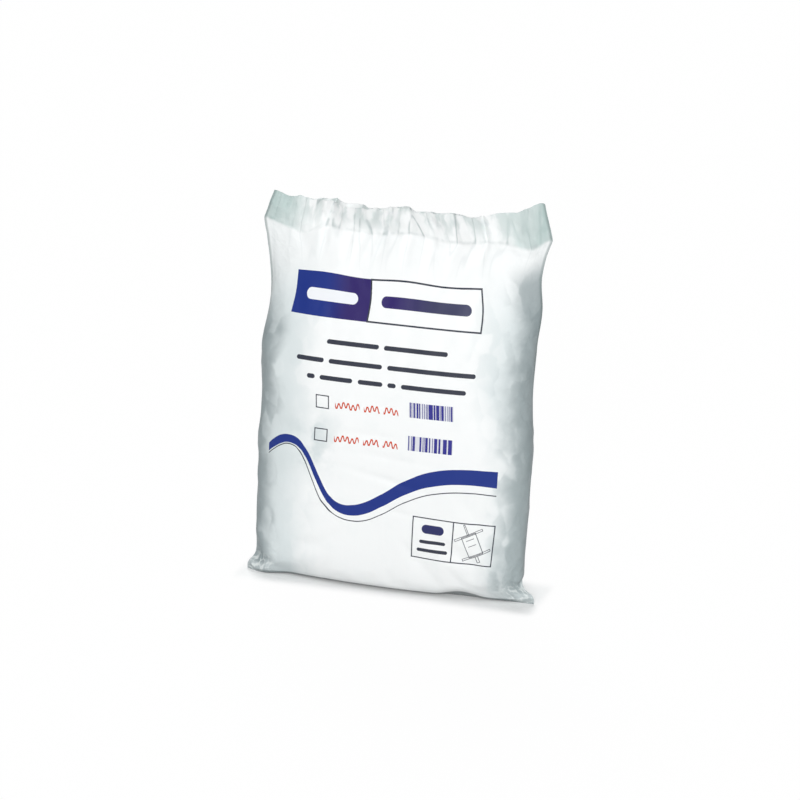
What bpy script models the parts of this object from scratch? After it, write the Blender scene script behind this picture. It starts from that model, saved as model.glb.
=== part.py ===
"""A sealed film pack of leg bags, standing on its flattened base. Metres, +Z up, front towards -Y.

The whole pack is one closed solid. It starts as the flat bag that comes off the sealing machine, a thin box cut
into columns across the film and rings up the film. fill_bag then moves each point to where the film goes once the
pack is full: the body swells into a cushion, the base flattens on the table, and the skirt above the top weld is
drawn together in pleats.
"""

import functools
import math

import bmesh
import bpy
from mathutils import Matrix, Vector

# Driving sizes of the pack
BODY_WIDTH = 0.2855
BODY_DEPTH = 0.078
WELD_HEIGHT = 0.359
BASE_WIDTH = 0.303

# The skirt: the loose end of the film above the weld, upright at its corners and drooping forward between them
SKIRT_WIDTH = 0.299
SKIRT_HEIGHT = 0.033
SKIRT_TOP_WIDTH = 0.279
SKIRT_TAPER = 0.08
FILM_PAIR = 0.0012
WELD_BAND = 0.004
WELD_PRESS = 0.45
SKIRT_LEAN = math.radians(6)
SKIRT_DROOP = math.radians(26)
SKIRT_CORNER = 0.45
PLEAT_DEPTH = 0.0036
PLEAT_WIDTH = 0.0080
PLEAT_RUN = 0.050

# How the weld line lies: its ends stand up as ears, and a tuck pulls it down near the left one
LEFT_EAR_RISE = 0.005
RIGHT_EAR_RISE = 0.011
EAR_LENGTH = 0.026
WELD_WAVE = 0.002
TUCK_PLACE = -0.70
TUCK_DROP = 0.007
TUCK_WIDTH = 0.011

# Creases and puckers in the filled film
PUCKER_DEPTH = 0.0013
CREASE_DEPTH = 0.0012
CREASE_WIDTH = 0.007
CORNER_CRUMPLE = 0.004
CRUMPLE_REACH = 0.038
SLOW_PUCKER = 0.083
QUICK_PUCKER = 0.0345
PUCKER_SWELL = 0.131
CRUMPLE_UP = 0.0286
CRUMPLE_OUT = 0.070
BASE_FADE = 0.006
PANEL_FADE = 0.010

# The skirt's uneven cut edge: how far it stands above or below a straight one, as shares of the skirt's height
SKIRT_EDGE = (
    (-1.00, -0.06), (-0.90, -0.06), (-0.80, 0.06), (-0.71, -0.09), (-0.62, -0.06), (-0.45, -0.12), (-0.30, -0.03),
    (0.00, 0.00), (0.09, -0.12), (0.20, -0.06), (0.33, 0.03), (0.42, 0.00), (0.50, -0.15), (0.58, -0.23),
    (0.66, -0.12), (0.74, 0.00), (0.84, 0.12), (0.92, 0.12), (1.00, 0.06),
)

# How finely the flat bag is cut
COLUMNS = 52
BODY_RING = 0.0088
SHOULDER_RING = 0.006
SKIRT_RINGS = 5
SECTION_STEPS = 120
BASE_RINGS = (0.0015, 0.004, 0.0075, 0.012, 0.018, 0.025)  # close rings where the base turns up

# Where the side folds stand, as shares of half the body's width, at shares of the weld's height
LEFT_PROFILE = (
    (0.04, 0.998), (0.10, 1.005), (0.33, 1.010), (0.50, 0.995), (0.61, 1.010), (0.72, 0.978), (0.82, 0.966),
    (0.89, 0.982), (0.95, 1.004), (1.00, 1.030),
)
RIGHT_PROFILE = (
    (0.04, 0.968), (0.10, 0.968), (0.25, 0.980), (0.43, 0.990), (0.60, 0.972), (0.74, 0.984), (0.83, 1.004),
    (0.90, 0.986), (0.95, 1.006), (1.00, 1.040),
)
# The pack from the side: where its front panel, side folds and back panel stand, as shares of half its depth.
# The base is flatter at the front, the front panel leans back towards the top, and all three meet at the weld.
FRONT_LINE = (
    (0.00, -0.60), (0.010, -0.745), (0.025, -0.86), (0.05, -0.935), (0.10, -0.985), (0.20, -1.0), (0.40, -0.975),
    (0.56, -0.85), (0.70, -0.62), (0.80, -0.37), (0.88, -0.09), (0.94, 0.18), (0.98, 0.41), (1.00, 0.51),
)
FOLD_LINE = ((0.0, -0.31), (0.1, -0.23), (0.25, -0.08), (0.4, 0.0), (0.55, 0.08), (0.75, 0.24), (0.9, 0.42), (1.0, 0.51))
BACK_LINE = (
    (0.00, 0.60), (0.010, 0.75), (0.025, 0.85), (0.05, 0.925), (0.10, 0.975), (0.20, 1.0), (0.42, 1.0),
    (0.56, 0.975), (0.70, 0.92), (0.80, 0.84), (0.88, 0.75), (0.94, 0.65), (0.98, 0.555), (1.00, 0.51),
)

# Pleats across the skirt: place as a share of half its width, strength, and slant up the skirt
PLEATS = (
    (-0.63, 0.8, 0.10), (-0.55, -1.3, 0.12), (-0.45, 0.5, 0.20), (-0.37, -0.9, 0.35), (-0.27, 0.8, 0.35),
    (-0.13, -0.8, 0.30), (-0.04, 0.8, 0.10), (0.035, -1.2, 0.00), (0.13, 0.7, -0.05), (0.20, -0.7, -0.05),
    (0.29, 0.6, -0.10), (0.36, -0.8, -0.10), (0.46, 0.9, -0.05), (0.55, -1.4, 0.00), (0.65, 0.8, -0.10),
)

# Long shallow creases on the panels: centre as shares of width and height, half length, tilt in degrees
FRONT_CREASES = (
    (-0.10, 0.465, 0.055, -3), (0.02, 0.405, 0.060, -5), (-0.04, 0.345, 0.070, -11), (0.10, 0.335, 0.045, -14),
    (0.18, 0.245, 0.050, -8), (-0.38, 0.245, 0.040, 9), (-0.28, 0.900, 0.030, -50), (0.30, 0.885, 0.030, 70),
)
BACK_CREASES = ((0.05, 0.52, 0.060, 4), (-0.12, 0.40, 0.065, -7), (0.20, 0.28, 0.050, 9), (0.0, 0.88, 0.04, 80))

FILM_COLOUR = (0.90, 0.92, 0.92, 1.0)
FILM_ROUGHNESS = 0.32


def clear_scene():
    for thing in list(bpy.data.objects):
        bpy.data.objects.remove(thing, do_unlink=True)


def ease(value):
    """0 below 0, 1 above 1, and a smooth step between."""
    value = min(max(value, 0.0), 1.0)
    return value * value * (3.0 - 2.0 * value)


def bump(distance):
    """1 at a distance of 0, falling smoothly to 0 at 1 and beyond."""
    return 0.5 * (1.0 + math.cos(math.pi * min(abs(distance), 1.0)))


def along(profile, share):
    """Reads a profile of (share, value) pairs with a smooth curve through its points."""
    if share <= profile[0][0]:
        return profile[0][1]
    for index in range(len(profile) - 1):
        (low, start), (high, end) = profile[index], profile[index + 1]
        if share <= high:
            break
    else:
        return profile[-1][1]
    before = profile[max(index - 1, 0)]
    after = profile[min(index + 2, len(profile) - 1)]
    span = high - low
    leave = (end - before[1]) / (high - before[0]) * span
    arrive = (after[1] - start) / (after[0] - low) * span
    part = (share - low) / span
    return (
        (2 * part**3 - 3 * part**2 + 1) * start
        + (part**3 - 2 * part**2 + part) * leave
        + (3 * part**2 - 2 * part**3) * end
        + (part**3 - part**2) * arrive
    )


def side_fold(height, side):
    """How far the left (-1) or right (1) side fold stands from the middle, from the base to the skirt's edge."""
    if height >= WELD_HEIGHT:
        up = (height - WELD_HEIGHT) / SKIRT_HEIGHT
        return 0.5 * (SKIRT_WIDTH + (SKIRT_TOP_WIDTH - SKIRT_WIDTH) * up)
    profile = LEFT_PROFILE if side < 0 else RIGHT_PROFILE
    share = height / WELD_HEIGHT
    body = 0.5 * BODY_WIDTH * along(profile, share)
    neck = profile[-2][0]
    body += (0.5 * SKIRT_WIDTH - 0.5 * BODY_WIDTH * profile[-1][1]) * ease((share - neck) / (1.0 - neck))
    foot = 1.0 - ease(share / (1.8 * profile[0][0]))
    return body + (0.5 * BASE_WIDTH - 0.5 * BODY_WIDTH * profile[0][1]) * foot**1.6


def fold_line(height):
    """How far back the side folds stand."""
    return 0.5 * BODY_DEPTH * along(FOLD_LINE, min(height / WELD_HEIGHT, 1.0))


def panel_depth(height, face):
    """How far the front (-1) or back (1) panel stands from the side folds, at the middle of the section."""
    pair = 0.5 * FILM_PAIR
    if height >= WELD_HEIGHT:
        return pair * (1.0 - WELD_PRESS * bump((height - WELD_HEIGHT) / WELD_BAND))
    line = FRONT_LINE if face < 0 else BACK_LINE
    panel = 0.5 * BODY_DEPTH * along(line, height / WELD_HEIGHT)
    return max(face * (panel - fold_line(height)), pair * (1.0 - WELD_PRESS))


def pinch(height, face):
    """1 where the side of the section is round, more where its two films run together in a sharp edge."""
    share = height / WELD_HEIGHT
    corner = 1.0 - ease(share / 0.075)
    top = ease((share - 0.76) / 0.24)
    return 1.05 + (1.5 if face < 0 else 0.8) * corner + 1.2 * top


def squareness(height, face):
    """2 for an ellipse, more for a flatter panel with tighter sides."""
    share = height / WELD_HEIGHT
    corner = 1.0 - ease(share / 0.15)
    top = ease((share - 0.76) / 0.24)
    return 2.0 + (1.5 - 0.7 * top) * (1.0 - corner) + (0.0 if face < 0 else 2.2) * corner


@functools.lru_cache(maxsize=None)
def section(height, face):
    """Half of the section as points (x, depth, walked), from the left fold to the right one, by film length."""
    left, right, deep = side_fold(height, -1), side_fold(height, 1), panel_depth(height, face)
    power, square = 0.5 * pinch(height, face), squareness(height, face)
    points, walked = [], 0.0
    for step in range(SECTION_STEPS + 1):
        across = -math.cos(math.pi * step / SECTION_STEPS)
        wide = left if across < 0 else right
        place = (wide * across, deep * max(1.0 - abs(across) ** square, 0.0) ** power)
        if points:
            walked += math.dist(place, points[-1][:2])
        points.append((*place, walked))
    return points


def film_point(height, face, share):
    """(x, depth, outward normal) at this share of the film's length across the section."""
    points = section(height, face)
    target = share * points[-1][2]
    index = 1
    while index < len(points) - 1 and points[index][2] < target:
        index += 1
    (x0, y0, walked0), (x1, y1, walked1) = points[index - 1], points[index]
    part = (target - walked0) / max(walked1 - walked0, 1e-9)
    run = Vector((x1 - x0, y1 - y0))
    normal = Vector((-run.y, run.x)).normalized()
    return x0 + (x1 - x0) * part, y0 + (y1 - y0) * part, normal


def weld_lift(across):
    """How far the weld line lies above its middle, across the pack from -1 to 1."""
    from_end = (1.0 - abs(across)) * 0.5 * SKIRT_WIDTH
    rise = LEFT_EAR_RISE if across < 0 else RIGHT_EAR_RISE
    wave = WELD_WAVE * math.cos(3.4 * math.pi * (across - 0.05))
    return rise * (1.0 - ease(from_end / EAR_LENGTH)) ** 1.5 + wave * ease(from_end / EAR_LENGTH)


def tuck(across, rise):
    """How far a tuck pulls the film down around the weld, near the weld's left end."""
    away = (across - TUCK_PLACE) * 0.5 * SKIRT_WIDTH / TUCK_WIDTH
    return TUCK_DROP * math.exp(-(away**2)) * bump(rise / SKIRT_HEIGHT)


def pleat_shift(across, rise):
    """Front-to-back wave of the pleats. They are full at the skirt's edge and fade down the shoulder."""
    if rise < 0:
        strength = 0.55 * (1.0 - ease(-rise / PLEAT_RUN)) ** 1.5
    else:
        strength = 0.55 + 0.45 * ease(rise / SKIRT_HEIGHT)
    shift = 0.0
    for place, depth, slant in PLEATS:
        away = (across - place) * 0.5 * SKIRT_WIDTH - slant * rise
        width = PLEAT_WIDTH * (1.0 + max(-rise, 0.0) / PLEAT_RUN)
        shift += depth * math.exp(-((away / width) ** 2))
    return PLEAT_DEPTH * strength * shift


def crease(creases, x, height):
    """Depth of the long shallow creases at this place on a panel."""
    total = 0.0
    for across, up, reach, tilt in creases:
        offset_x = x - across * 0.5 * BODY_WIDTH
        offset_z = height - up * WELD_HEIGHT
        turn = math.radians(tilt)
        length = offset_x * math.cos(turn) + offset_z * math.sin(turn)
        width = offset_z * math.cos(turn) - offset_x * math.sin(turn)
        total += bump(length / reach) * math.exp(-((width / CREASE_WIDTH) ** 2))
    return CREASE_DEPTH * total


def puckers(side, height):
    """Uneven waves up the left (-1) or right (1) fold of the body, where the film has length to spare."""
    fade = ease(height / (0.08 * WELD_HEIGHT)) * (1.0 - ease((height / WELD_HEIGHT - 0.85) / 0.12))
    slow = math.sin(2 * math.pi * height / SLOW_PUCKER + 1.1 * side)
    quick = math.sin(2 * math.pi * height / QUICK_PUCKER + 2.3 * side + 1.6 * slow)
    swell = 0.5 + 0.5 * math.cos(2 * math.pi * height / PUCKER_SWELL + 2.0 * side)
    return PUCKER_DEPTH * fade * (0.3 * slow + 0.8 * quick * swell)


def crumple(x, height):
    """Creased lumps in the film over the two bottom corners."""
    from_corner = math.hypot(abs(x) - 0.5 * BODY_WIDTH, 1.3 * (height - 0.3 * CRUMPLE_REACH)) / CRUMPLE_REACH
    turns = height / CRUMPLE_UP + abs(x) / CRUMPLE_OUT
    ripple = math.cos(2 * math.pi * turns + math.copysign(0.7, x))
    return CORNER_CRUMPLE * bump(from_corner) * ripple * ease(height / BASE_FADE)


def fill_bag(across, height, face):
    """Where a point of the flat bag goes: across from -1 to 1, height up the film, face -1 front or 1 back."""
    gap = 0.5 / (COLUMNS + 1)
    x, deep, normal = film_point(height, face, gap + 0.5 * (across + 1.0) * (1.0 - 2.0 * gap))
    rise = height - WELD_HEIGHT
    level = min(height / WELD_HEIGHT, 1.0)
    y = fold_line(height) + face * deep
    z = height + weld_lift(across) * ease((level - 0.78) / 0.22) - tuck(across, rise)

    # Puckers push the side folds in and out, and creases press the panels in
    edge = max(abs(normal.x) - 0.35, 0.0) / 0.65
    push = puckers(math.copysign(1.0, across), height) * edge + crumple(x, height) * ease(deep / PANEL_FADE)
    filled = 1.0 - ease((level - 0.93) / 0.07)
    push -= crease(FRONT_CREASES if face < 0 else BACK_CREASES, x, height) * filled * ease(deep / PANEL_FADE)
    x += push * normal.x
    y += push * normal.y * face + pleat_shift(across, rise)
    if rise > 0:
        z += rise * (SKIRT_TAPER * across + along(SKIRT_EDGE, across))
        droop = 1.0 - ease((abs(across) - 0.8 + SKIRT_CORNER) / SKIRT_CORNER)
        lean = SKIRT_LEAN - SKIRT_DROOP * droop
        y += rise * math.sin(lean)
        z += rise * (math.cos(lean) - 1.0)
    return Vector((x, y, z))


def ring_heights():
    """Heights at which the flat bag is cut: close together at the base, the shoulder, the weld and the skirt."""
    heights = list(BASE_RINGS)
    shoulder = 0.86 * WELD_HEIGHT
    count = round((shoulder - heights[-1]) / BODY_RING)
    heights += [heights[-1] + (shoulder - heights[-1]) * n / count for n in range(1, count + 1)]
    count = round((WELD_HEIGHT - shoulder) / SHOULDER_RING)
    heights += [shoulder + (WELD_HEIGHT - shoulder) * n / count for n in range(1, count + 1)]
    heights.append(WELD_HEIGHT + WELD_BAND)
    left = SKIRT_HEIGHT - WELD_BAND
    heights += [WELD_HEIGHT + WELD_BAND + left * n / SKIRT_RINGS for n in range(1, SKIRT_RINGS)]
    return heights


def flat_bag():
    """The flat bag: a thin box, 2 wide, cut into columns and rings. Its front is at y = -1 and its back at y = 1."""
    mesh = bmesh.new()
    bmesh.ops.create_cube(mesh, size=1.0)
    top = WELD_HEIGHT + SKIRT_HEIGHT
    bmesh.ops.scale(mesh, vec=(2.0, 2.0, top), verts=mesh.verts)
    bmesh.ops.translate(mesh, vec=(0.0, 0.0, 0.5 * top), verts=mesh.verts)
    cuts = [((-1.0 + 2.0 * n / COLUMNS, 0, 0), (1, 0, 0)) for n in range(1, COLUMNS)]
    cuts += [((0, 0, height), (0, 0, 1)) for height in ring_heights()]
    for place, normal in cuts:
        geometry = mesh.verts[:] + mesh.edges[:] + mesh.faces[:]
        bmesh.ops.bisect_plane(mesh, geom=geometry, plane_co=place, plane_no=normal)
    return mesh


def centre_over_base(mesh):
    """Moves the pack so that the origin is under the middle of its bounding box."""
    xs = [vert.co.x for vert in mesh.verts]
    ys = [vert.co.y for vert in mesh.verts]
    middle = Vector((0.5 * (min(xs) + max(xs)), 0.5 * (min(ys) + max(ys)), 0.0))
    bmesh.ops.translate(mesh, vec=-middle, verts=mesh.verts)


def film_material():
    """White printed polythene."""
    material = bpy.data.materials.new("white_film")
    material.use_nodes = True
    shader = material.node_tree.nodes["Principled BSDF"]
    shader.inputs["Base Color"].default_value = FILM_COLOUR
    shader.inputs["Roughness"].default_value = FILM_ROUGHNESS
    shader.inputs["Metallic"].default_value = 0.0
    return material


def make_pack(collection):
    mesh = flat_bag()
    for vert in mesh.verts:
        vert.co = fill_bag(vert.co.x, vert.co.z, vert.co.y)
    centre_over_base(mesh)
    bmesh.ops.recalc_face_normals(mesh, faces=mesh.faces)
    data = bpy.data.meshes.new("sealed_pack")
    mesh.to_mesh(data)
    mesh.free()
    data.shade_smooth()
    data.set_sharp_from_angle(angle=math.radians(50))
    data.materials.append(film_material())
    pack = bpy.data.objects.new("sealed_pack", data)
    collection.objects.link(pack)
    return pack


def main():
    clear_scene()
    collection = bpy.data.collections.new("sealed_film_pack")
    bpy.context.scene.collection.children.link(collection)
    make_pack(collection)


main()
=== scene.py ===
# %% [markdown]
# # A sealed film pack of leg bags
# The pack is a pillow of white printed film, full of folded bags, standing on its flattened base.
# The CAD solid fixes its place and size. This script dresses it: it moulds a fine skin of film in
# the same space, gives it pleats, puckers and creases, and prints it with a procedural material.

# %% Load the packed frame
import math

import bpy
import numpy as np
from mathutils import Matrix, Vector, noise


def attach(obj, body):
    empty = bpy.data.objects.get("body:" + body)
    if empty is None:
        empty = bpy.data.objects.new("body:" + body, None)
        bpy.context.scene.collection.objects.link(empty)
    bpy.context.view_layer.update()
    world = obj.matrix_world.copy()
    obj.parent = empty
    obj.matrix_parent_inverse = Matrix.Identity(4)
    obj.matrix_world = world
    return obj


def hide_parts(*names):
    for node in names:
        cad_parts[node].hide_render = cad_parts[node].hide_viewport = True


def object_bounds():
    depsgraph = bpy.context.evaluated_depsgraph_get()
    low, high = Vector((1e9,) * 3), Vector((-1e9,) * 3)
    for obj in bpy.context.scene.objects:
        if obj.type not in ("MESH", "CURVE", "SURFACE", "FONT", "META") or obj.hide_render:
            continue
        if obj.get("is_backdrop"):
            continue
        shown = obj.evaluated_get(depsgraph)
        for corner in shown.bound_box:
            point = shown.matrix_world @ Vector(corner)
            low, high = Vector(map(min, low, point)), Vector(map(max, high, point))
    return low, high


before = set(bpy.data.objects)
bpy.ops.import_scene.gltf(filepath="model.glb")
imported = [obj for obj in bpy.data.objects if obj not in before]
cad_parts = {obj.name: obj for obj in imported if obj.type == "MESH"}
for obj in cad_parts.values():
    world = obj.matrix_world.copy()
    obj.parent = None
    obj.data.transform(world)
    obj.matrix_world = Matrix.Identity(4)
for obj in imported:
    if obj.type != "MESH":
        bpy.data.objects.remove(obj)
cad_low, cad_high = (list(corner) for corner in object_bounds())
print("CAD box in metres:", cad_low, cad_high)

# %% [markdown]
# ## The sizes of the film
# Such a bag is a flat tube of film, welded across the top and the bottom, with a skirt of loose
# film above the top weld. These are the driving sizes of the CAD solid, in metres, so the skin lies
# where the solid is.

# %% Driving sizes
BODY_WIDTH = 0.2855
BODY_DEPTH = 0.078
WELD_HEIGHT = 0.359
BASE_WIDTH = 0.303
SKIRT_WIDTH = 0.299
SKIRT_HEIGHT = 0.033
SKIRT_TOP_WIDTH = 0.279
SKIRT_TAPER = 0.08  # taller by this share at the right end, and shorter at the left
SKIRT_LEAN = math.radians(6)
SKIRT_DROOP = math.radians(26)
FILM = 0.00025  # one layer, made thick enough to render
HALF_FLAT = 0.156  # half the width of the flat tube
print("top of the skirt:", WELD_HEIGHT + SKIRT_HEIGHT, "m")

# %% [markdown]
# ## The pack's profiles
# Each profile is a few pairs: a share of the weld's height, and a share of half the body's width or
# depth. The side folds give the pillow's outline from the front, and the other three its outline
# from the side: the front panel, the folds and the back panel.

# %% Profiles
LEFT_FOLD = (
    (0.04, 0.998), (0.10, 1.005), (0.33, 1.010), (0.50, 0.995), (0.61, 1.014), (0.67, 1.010),
    (0.74, 0.980), (0.82, 0.968), (0.89, 0.988), (0.95, 1.016), (1.00, 1.030),
)
RIGHT_FOLD = (
    (0.04, 0.968), (0.10, 0.968), (0.25, 0.980), (0.43, 0.990), (0.60, 0.972), (0.74, 0.984),
    (0.83, 1.004), (0.90, 0.986), (0.95, 1.006), (1.00, 1.040),
)
FRONT_LINE = (
    (0.00, -0.60), (0.010, -0.745), (0.025, -0.86), (0.05, -0.935), (0.10, -0.985), (0.20, -1.0),
    (0.40, -0.975), (0.56, -0.85), (0.70, -0.62), (0.80, -0.37), (0.88, -0.09), (0.94, 0.18),
    (0.98, 0.41), (1.00, 0.51),
)
FOLD_LINE = (
    (0.0, -0.31), (0.1, -0.23), (0.25, -0.08), (0.4, 0.0), (0.55, 0.08), (0.75, 0.24), (0.9, 0.42),
    (1.0, 0.51),
)
BACK_LINE = (
    (0.00, 0.60), (0.010, 0.75), (0.025, 0.85), (0.05, 0.925), (0.10, 0.975), (0.20, 1.0),
    (0.42, 1.0), (0.56, 0.975), (0.70, 0.92), (0.80, 0.84), (0.88, 0.75), (0.94, 0.65),
    (0.98, 0.555), (1.00, 0.51),
)
print("pairs in the front line:", len(FRONT_LINE))

# %% [markdown]
# ## Smooth curves through a few points
# `ease` and `bump` blend one shape into the next, and `read_curve` runs a smooth curve through a
# profile's pairs, so a form is steered by few numbers and has no kinks.

# %% Helpers for smooth forms
def ease(value):
    """0 below 0, 1 above 1, and a smooth step between."""
    value = np.clip(value, 0.0, 1.0)
    return value * value * (3.0 - 2.0 * value)


def bump(distance):
    """1 at a distance of 0, falling smoothly to 0 at 1 and beyond."""
    return 0.5 * (1.0 + np.cos(np.pi * np.minimum(np.abs(distance), 1.0)))


def read_curve(profile, share):
    """The value of a smooth curve through the profile's pairs, at one share."""
    places = [pair[0] for pair in profile]
    values = [pair[1] for pair in profile]
    if share <= places[0]:
        return values[0]
    if share >= places[-1]:
        return values[-1]
    index = int(np.searchsorted(places, share)) - 1
    before, after = max(index - 1, 0), min(index + 2, len(places) - 1)
    span = places[index + 1] - places[index]
    start, end = values[index], values[index + 1]
    leave = (end - values[before]) / (places[index + 1] - places[before]) * span
    arrive = (values[after] - start) / (places[after] - places[index]) * span
    part = (share - places[index]) / span
    return (
        (2 * part**3 - 3 * part**2 + 1) * start
        + (part**3 - 2 * part**2 + part) * leave
        + (3 * part**2 - 2 * part**3) * end
        + (part**3 - part**2) * arrive
    )


print("side fold at half height:", round(0.5 * BODY_WIDTH * read_curve(LEFT_FOLD, 0.5), 4), "m")

# %% [markdown]
# ## One slice through the filled film
# A level slice has a front and a back panel that meet in the two side folds. Near the top weld and
# at the bottom corners the layers run together before the fold and leave a flat fin. Film doesn't
# stretch, so points are spaced evenly along each slice, not along the width.

# %% Where the folds and panels stand
FOOT_HEIGHT = 0.030  # the bottom corners end at this height
CORNER_FIN = 0.013
TOP_FINS = {-1: (0.075, 0.007), 1: (0.036, 0.016)}  # start below the weld, and width at the weld


def side_fold(height, side):
    """How far the left (-1) or right (1) side fold stands from the middle."""
    if height >= WELD_HEIGHT:
        up = (height - WELD_HEIGHT) / SKIRT_HEIGHT
        return 0.5 * (SKIRT_WIDTH + (SKIRT_TOP_WIDTH - SKIRT_WIDTH) * up)
    profile = LEFT_FOLD if side < 0 else RIGHT_FOLD
    share = height / WELD_HEIGHT
    body = 0.5 * BODY_WIDTH * read_curve(profile, share)
    neck = profile[-2][0]
    to_weld = 0.5 * SKIRT_WIDTH - 0.5 * BODY_WIDTH * profile[-1][1]
    body += to_weld * ease((share - neck) / (1.0 - neck))
    foot = 1.0 - ease(share / (1.8 * profile[0][0]))
    return body + (0.5 * BASE_WIDTH - 0.5 * BODY_WIDTH * profile[0][1]) * foot**1.6


def fin_width(height, side):
    """Width of the flat fin outside the filled part: at the bottom corner, and below the weld."""
    corner = CORNER_FIN * (1.0 - ease(height / FOOT_HEIGHT)) ** 1.3
    reach, width = TOP_FINS[side]
    return corner + width * np.clip((height - WELD_HEIGHT + reach) / reach, 0.0, 1.0)


def fold_line(height):
    """How far back the side folds stand."""
    return 0.5 * BODY_DEPTH * read_curve(FOLD_LINE, min(height / WELD_HEIGHT, 1.0))


def panel_depth(height, face):
    """How far the front (-1) or back (1) panel stands from the folds, in the middle of a slice."""
    if height >= WELD_HEIGHT:
        return 0.0
    line = FRONT_LINE if face < 0 else BACK_LINE
    middle = 0.5 * BODY_DEPTH * read_curve(line, height / WELD_HEIGHT)
    return max(face * (middle - fold_line(height)), 0.0)


print("deepest slice:", round(panel_depth(0.1, -1) + panel_depth(0.1, 1), 4), "m")

# %% One slice
SLICE_STEPS = 160


def slice_points(height, face, shares):
    """Arrays of x and depth at these shares of the film's length, from the left fold to the right.

    A slice is a kind of ellipse. With a higher square it is flatter in the middle, and with a
    higher power it runs out thinner at the folds, as at the corners and under the weld.
    """
    level = height / WELD_HEIGHT
    corner = 1.0 - ease(level / 0.075)
    wide_corner = 1.0 - ease(level / 0.15)
    top = ease((level - 0.76) / 0.24)
    power = 0.5 * (1.05 + (0.9 if face < 0 else 0.4) * corner + 0.6 * top)
    square = 2.0 + (1.5 - 0.7 * top) * (1.0 - wide_corner)
    square += (0.0 if face < 0 else 2.2) * wide_corner
    across = -np.cos(np.pi * np.linspace(0.0, 1.0, SLICE_STEPS + 1))
    folds = [side_fold(height, side) for side in (-1, 1)]
    filled = [fold - fin_width(height, side) for fold, side in zip(folds, (-1, 1))]
    x = np.where(across < 0, *folds) * across
    share = np.minimum(np.abs(x) / np.where(across < 0, *filled), 1.0)
    depth = panel_depth(height, face) * (1.0 - share**square) ** power
    walked = np.concatenate(([0.0], np.cumsum(np.hypot(np.diff(x), np.diff(depth)))))
    target = shares * walked[-1]
    return np.interp(target, walked, x), np.interp(target, walked, depth)


for level in (0.0, 0.5, 0.95):
    x, depth = slice_points(level * WELD_HEIGHT, -1, np.linspace(0, 1, 5))
    print("slice at", level, "x", np.round(x, 3), "depth", np.round(depth, 3))

# %% [markdown]
# ## The weld and the pleats
# The weld is straight while the bag is flat. Once the bag is full, the weld's ends stand up as ears
# and its middle is drawn together in pleats. Stiff film pleats in flat facets with sharp folds, so
# the pleats are a bent line across the skirt: pairs of a place, from -1 to 1, and how far the fold
# stands back, in millimetres. The cut edge and the way that the layers gape are such lines too.

# %% The skirt's bent lines
PLEATS = (
    (-1.0, 0.0), (-0.73, 0.0), (-0.665, -2.0), (-0.60, -4.5), (-0.555, 3.8), (-0.52, -1.5),
    (-0.44, -3.6), (-0.375, 1.0), (-0.34, -3.2), (-0.285, 1.6), (-0.235, -3.0), (-0.20, -0.8),
    (-0.175, -2.4), (-0.14, 1.8), (-0.09, -2.2), (-0.02, -3.4), (0.03, 3.2), (0.07, -1.6),
    (0.13, -2.8), (0.20, 0.8), (0.24, -2.4), (0.31, -2.9), (0.355, 1.0), (0.40, -2.8),
    (0.47, -4.0), (0.53, -1.6), (0.555, 4.6), (0.585, -2.2), (0.65, -2.8), (0.74, 0.0), (1.0, 0.0),
)
EDGE = (  # how far the cut edge stands up, in millimetres
    (-1.0, -2.0), (-0.90, -2.0), (-0.80, 2.0), (-0.71, -3.0), (-0.62, -2.0), (-0.45, -4.0),
    (-0.30, -1.0), (0.0, 0.0), (0.09, -4.0), (0.20, -2.0), (0.33, 1.0), (0.42, 0.0), (0.50, -5.0),
    (0.58, -6.5), (0.66, -3.0), (0.74, -1.5), (0.80, 0.0), (0.86, 5.5), (0.92, 5.0), (1.0, 0.0),
)
GAPE = (  # how much less the back layer droops, in degrees
    (-1.0, 0.0), (-0.78, 0.0), (-0.62, 15.0), (-0.36, 17.0), (-0.24, 4.0), (0.1, 5.0), (0.4, 3.0),
    (0.72, 0.0), (1.0, 0.0),
)
print("pleats:", sum(back > 0 for place, back in PLEATS), "folds stand back")

# %% Weld and pleat functions
EAR_WIDTH = 0.026
LEFT_EAR_RISE = 0.005
RIGHT_EAR_RISE = 0.011
WELD_WAVE, WAVES, WAVE_MIDDLE = 0.002, 3.4, 0.05
PLEAT_RUN = 0.045  # how far below the weld the pleats end
WELD_SHARE, EDGE_SHARE = 0.55, 0.45  # a pleat's depth at the weld, and what the edge adds
SLANTS = ((-0.24, 0.26, 0.34), (-0.55, 0.20, 0.10))  # where pleats lean, how far round, how much


def weld_lift(across):
    """How far the weld line lies above its own height, across the pack from -1 to 1."""
    from_end = (1.0 - np.abs(across)) * 0.5 * SKIRT_WIDTH / EAR_WIDTH
    rise = np.where(across < 0, LEFT_EAR_RISE, RIGHT_EAR_RISE)
    wave = WELD_WAVE * np.cos(WAVES * np.pi * (across - WAVE_MIDDLE))
    return rise * (1.0 - ease(from_end)) ** 1.5 + wave * ease(from_end)


def pleats(across, rise):
    """How far back the pleats put the film: most at the cut edge, and faded out below the weld."""
    slant = sum(lean * bump((across - place) / reach) for place, reach, lean in SLANTS)
    bent = np.interp(across - slant * rise / (0.5 * SKIRT_WIDTH), *zip(*PLEATS)) / 1000.0
    if rise < 0:
        return bent * WELD_SHARE * (1.0 - ease(-rise / PLEAT_RUN)) ** 1.6
    return bent * (WELD_SHARE + EDGE_SHARE * ease(rise / SKIRT_HEIGHT))


def skirt_lean(across, face):
    """The skirt stands up at its ends and droops forward between them, the back layer less."""
    front = SKIRT_LEAN - SKIRT_DROOP * (1.0 - ease((np.abs(across) - 0.35) / 0.45))
    return front + (0.0 if face < 0 else np.radians(np.interp(across, *zip(*GAPE))))


deepest = max(pleats(np.linspace(-1, 1, 400), SKIRT_HEIGHT))
print("deepest pleat:", round(1000 * deepest, 2), "mm")

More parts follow.
